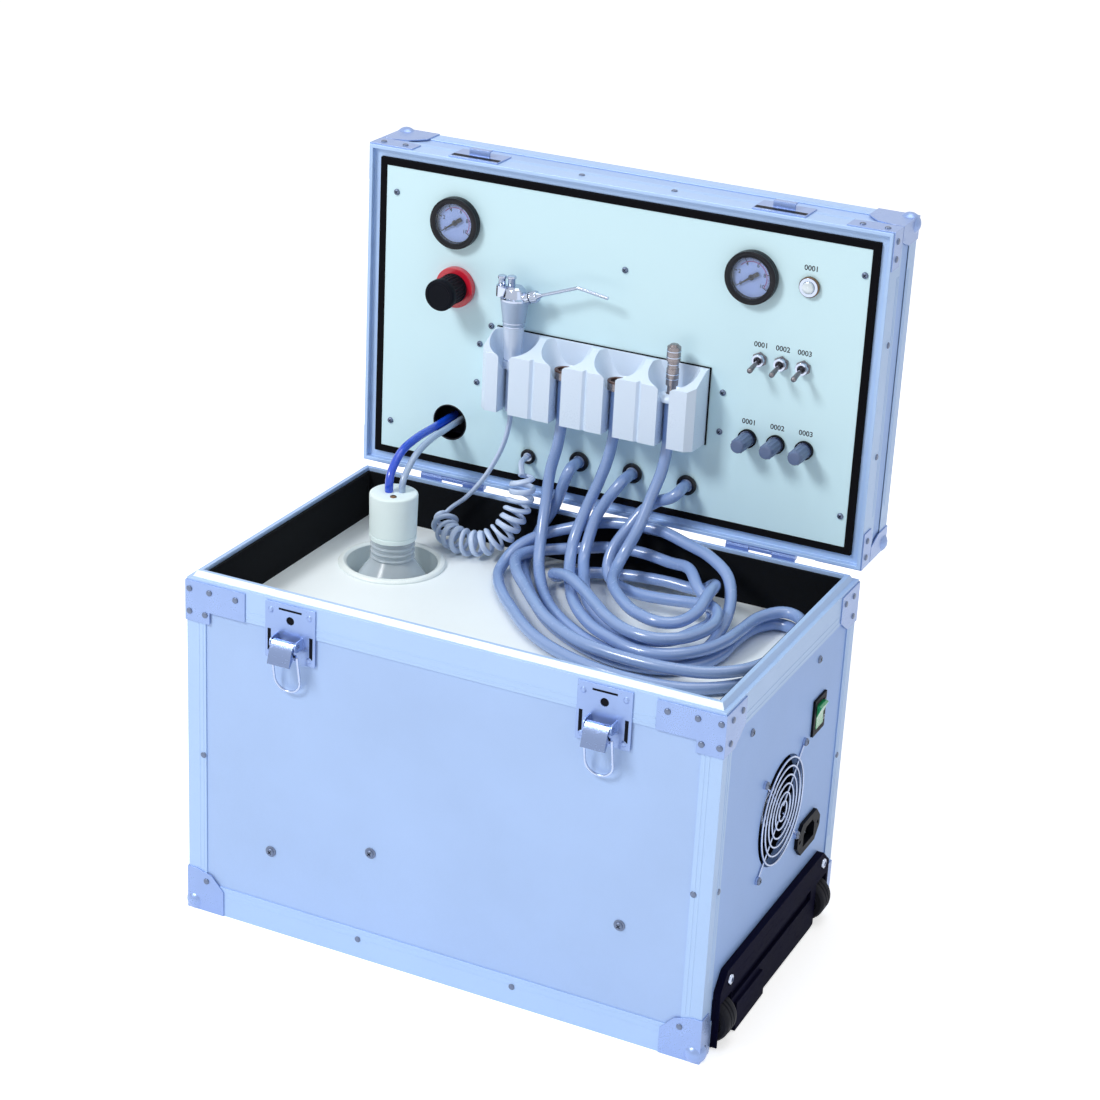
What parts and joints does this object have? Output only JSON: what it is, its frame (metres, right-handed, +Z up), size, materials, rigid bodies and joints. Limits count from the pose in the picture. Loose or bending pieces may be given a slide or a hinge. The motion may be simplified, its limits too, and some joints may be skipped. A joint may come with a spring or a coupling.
{
  "type": "portable dental unit",
  "caption": "Portable dental unit in an aluminium flight case: hinged lid with control panel and instrument holder, hoses on the deck, pull handle, wheels and cooling fan.",
  "frame": {"origin": "centre of the base case's underside, on the floor", "axes": "+X to the side with the fan, inlet and wheels, +Y to the back where the lid is hinged, +Z up"},
  "size_m": [0.48, 0.3519, 0.5822],
  "materials": {
    "front_panel": "fine-textured pale blue-grey laminate",
    "wall_panels": "fine-textured pale blue-grey laminate",
    "frame_alloy": "satin anodised extrusion",
    "steel_plate": "bright plated pressing",
    "fasteners": "domed rivets and screws",
    "deck_white": "satin white",
    "panel_white": "satin white, printed marks left bare",
    "felt_black": "black felt lining",
    "gasket_black": "matt black foam seal",
    "well_plastic": "white moulded cup",
    "black_plastic": "moulded black",
    "guard_wire": "bright wire",
    "navy_metal": "near-black satin paint",
    "compressor_iron": "painted castings and windings (hidden)",
    "tank_paint": "white painted tank (hidden)",
    "lens": "clear flat lens",
    "gauge_body": "black bezel, pale dial",
    "regulator": "black body with a red ring",
    "bushings": "collars, hex nuts and glands",
    "holder_white": "white moulding",
    "chrome": "polished",
    "needle": "dark painted pointer",
    "rocker_green": "translucent green",
    "wheel": "grey-black tread on a nylon hub",
    "button_light": "light cap",
    "toggle_metal": "satin bat",
    "valve_grey": "ribbed grey-blue",
    "bottle_clear": "clear plastic bottle",
    "cap_white": "matt white moulding",
    "cord_grey": "mid-grey coiled twin tube",
    "tube_blue": "blue and clear flexible tubes",
    "hose_grey": "grey-blue silicone"
  },
  "bodies": {
    "base": {"front_panel": "front_panel", "right_panel": "wall_panels", "case_walls": "wall_panels", "base_frame": "frame_alloy", "base_corners": "steel_plate", "base_fasteners": "fasteners", "deck_plate": "deck_white", "deck_lining": "felt_black", "well_cup": "well_plastic", "switch_bezel": "black_plastic", "power_inlet": "black_plastic", "fan_frame": "black_plastic", "fan_guard": "guard_wire", "kick_plate": "navy_metal", "latch_plates": "steel_plate", "base_hinges": "steel_plate", "compressor": "compressor_iron", "air_tank": "tank_paint", "handle_sleeves": "frame_alloy", "curly_cord": "cord_grey", "bottle_tubes": "tube_blue", "handpiece_hoses": "hose_grey"},
    "lid": {"lid_panels": "wall_panels", "lid_frame": "frame_alloy", "lid_hardware": "steel_plate", "lid_fasteners": "fasteners", "panel_gasket": "gasket_black", "control_panel": "panel_white", "gauge_cases": "gauge_body", "gauge_lenses": "lens", "regulator_body": "regulator", "panel_bushings": "bushings", "instrument_holder": "holder_white", "hose_couplings": "chrome", "lid_hinges": "steel_plate"},
    "fan_rotor": {"fan_rotor": "black_plastic"},
    "rocker": {"rocker": "rocker_green"},
    "front_wheel": {"front_wheel": "wheel"},
    "rear_wheel": {"rear_wheel": "wheel"},
    "left_latch_lever": {"left_latch_lever": "steel_plate"},
    "left_latch_loop": {"left_latch_loop": "chrome"},
    "right_latch_lever": {"right_latch_lever": "steel_plate"},
    "right_latch_loop": {"right_latch_loop": "chrome"},
    "left_needle": {"left_needle": "needle"},
    "right_needle": {"right_needle": "needle"},
    "regulator_knob": {"regulator_knob": "black_plastic"},
    "push_button": {"push_button": "button_light"},
    "toggle_1": {"toggle_1": "toggle_metal"},
    "toggle_2": {"toggle_2": "toggle_metal"},
    "toggle_3": {"toggle_3": "toggle_metal"},
    "valve_knob_1": {"valve_knob_1": "valve_grey"},
    "valve_knob_2": {"valve_knob_2": "valve_grey"},
    "valve_knob_3": {"valve_knob_3": "valve_grey"},
    "syringe_body": {"syringe_body": "chrome"},
    "syringe_button_1": {"syringe_button_1": "chrome"},
    "syringe_button_2": {"syringe_button_2": "chrome"},
    "syringe_nozzle": {"syringe_nozzle": "chrome"},
    "pull_handle": {"pull_handle": "frame_alloy"},
    "bottle": {"bottle": "bottle_clear"},
    "bottle_cap": {"bottle_cap": "cap_white"}
  },
  "joints": [
    {"name": "lid_hinge", "type": "hinge", "parent": "base", "child": "lid", "pos_m": [0, 0.1405, 0.298], "axis": [-1, 0, 0], "range_deg": [-90, 0], "deforming": ["curly_cord", "bottle_tubes", "handpiece_hoses"]},
    {"name": "fan_spin", "type": "hinge", "parent": "base", "child": "fan_rotor", "pos_m": [0.2, 0, 0.15], "axis": [1, 0, 0], "continuous": true},
    {"name": "rocker_tilt", "type": "hinge", "parent": "base", "child": "rocker", "pos_m": [0.223, 0.0685, 0.204], "axis": [0, -1, 0], "range_deg": [0, 20]},
    {"name": "front_wheel_spin", "type": "hinge", "parent": "base", "child": "front_wheel", "pos_m": [0.219, -0.102, 0.0205], "axis": [0, 1, 0], "continuous": true},
    {"name": "rear_wheel_spin", "type": "hinge", "parent": "base", "child": "rear_wheel", "pos_m": [0.219, 0.102, 0.0205], "axis": [0, 1, 0], "continuous": true},
    {"name": "left_latch_throw", "type": "hinge", "parent": "base", "child": "left_latch_lever", "pos_m": [-0.1315, -0.146, 0.262], "axis": [-1, 0, 0], "range_deg": [0, 120]},
    {"name": "left_latch_swing", "type": "hinge", "parent": "left_latch_lever", "child": "left_latch_loop", "pos_m": [-0.1315, -0.147, 0.253], "axis": [-1, 0, 0], "range_deg": [0, 60]},
    {"name": "right_latch_throw", "type": "hinge", "parent": "base", "child": "right_latch_lever", "pos_m": [0.1315, -0.146, 0.262], "axis": [-1, 0, 0], "range_deg": [0, 120]},
    {"name": "right_latch_swing", "type": "hinge", "parent": "right_latch_lever", "child": "right_latch_loop", "pos_m": [0.1315, -0.147, 0.253], "axis": [-1, 0, 0], "range_deg": [0, 60]},
    {"name": "left_gauge_turn", "type": "hinge", "parent": "lid", "child": "left_needle", "pos_m": [-0.144, 0.1339, 0.523], "axis": [0, 1, 0], "range_deg": [0, 270], "stiffness_Nm_per_rad": 0.00002},
    {"name": "right_gauge_turn", "type": "hinge", "parent": "lid", "child": "right_needle", "pos_m": [0.115, 0.1339, 0.523], "axis": [0, 1, 0], "range_deg": [0, 270], "stiffness_Nm_per_rad": 0.00002},
    {"name": "regulator_turn", "type": "hinge", "parent": "lid", "child": "regulator_knob", "pos_m": [-0.142, 0.1355, 0.469], "axis": [0, 1, 0], "range_deg": [0, 270]},
    {"name": "push_button_press", "type": "slide", "parent": "lid", "child": "push_button", "axis": [0, 1, 0], "range_m": [0, 0.0025], "stiffness_N_per_m": 400},
    {"name": "toggle_1_flip", "type": "hinge", "parent": "lid", "child": "toggle_1", "pos_m": [0.1263, 0.1355, 0.4575], "axis": [-1, 0, 0], "range_deg": [0, 22]},
    {"name": "toggle_2_flip", "type": "hinge", "parent": "lid", "child": "toggle_2", "pos_m": [0.1445, 0.1355, 0.4575], "axis": [-1, 0, 0], "range_deg": [0, 22]},
    {"name": "toggle_3_flip", "type": "hinge", "parent": "lid", "child": "toggle_3", "pos_m": [0.1627, 0.1355, 0.4575], "axis": [-1, 0, 0], "range_deg": [0, 22]},
    {"name": "valve_1_turn", "type": "hinge", "parent": "lid", "child": "valve_knob_1", "pos_m": [0.1214, 0.1355, 0.3905], "axis": [0, 1, 0], "range_deg": [0, 540]},
    {"name": "valve_2_turn", "type": "hinge", "parent": "lid", "child": "valve_knob_2", "pos_m": [0.1454, 0.1355, 0.3905], "axis": [0, 1, 0], "range_deg": [0, 540]},
    {"name": "valve_3_turn", "type": "hinge", "parent": "lid", "child": "valve_knob_3", "pos_m": [0.1694, 0.1355, 0.3905], "axis": [0, 1, 0], "range_deg": [0, 540]},
    {"name": "syringe_lift", "type": "slide", "parent": "lid", "child": "syringe_body", "axis": [0, 0, 1], "range_m": [0, 0.1], "deforming": ["curly_cord"]},
    {"name": "syringe_button_1_press", "type": "slide", "parent": "syringe_body", "child": "syringe_button_1", "axis": [0, 0, -1], "range_m": [0, 0.003], "stiffness_N_per_m": 400},
    {"name": "syringe_button_2_press", "type": "slide", "parent": "syringe_body", "child": "syringe_button_2", "axis": [0, 0, -1], "range_m": [0, 0.003], "stiffness_N_per_m": 400},
    {"name": "nozzle_swivel", "type": "hinge", "parent": "syringe_body", "child": "syringe_nozzle", "pos_m": [-0.067, 0.1225, 0.477], "axis": [0.936, 0, 0.3519], "continuous": true},
    {"name": "handle_pull", "type": "slide", "parent": "base", "child": "pull_handle", "axis": [-1, 0, 0], "range_m": [0, 0.3]},
    {"name": "bottle_press", "type": "slide", "parent": "base", "child": "bottle", "axis": [0, 0, 1], "range_m": [-0.028, 0], "deforming": ["bottle_tubes"]},
    {"name": "bottle_unscrew", "type": "hinge", "parent": "bottle", "child": "bottle_cap", "pos_m": [-0.1454, 0.0457, 0.29], "axis": [0, 0, 1], "range_deg": [0, 360], "deforming": ["bottle_tubes"]}
  ],
  "couplings": [
    {"joint": "bottle_press", "follows": "lid_hinge", "m_per_rad": 0.0178}
  ]
}
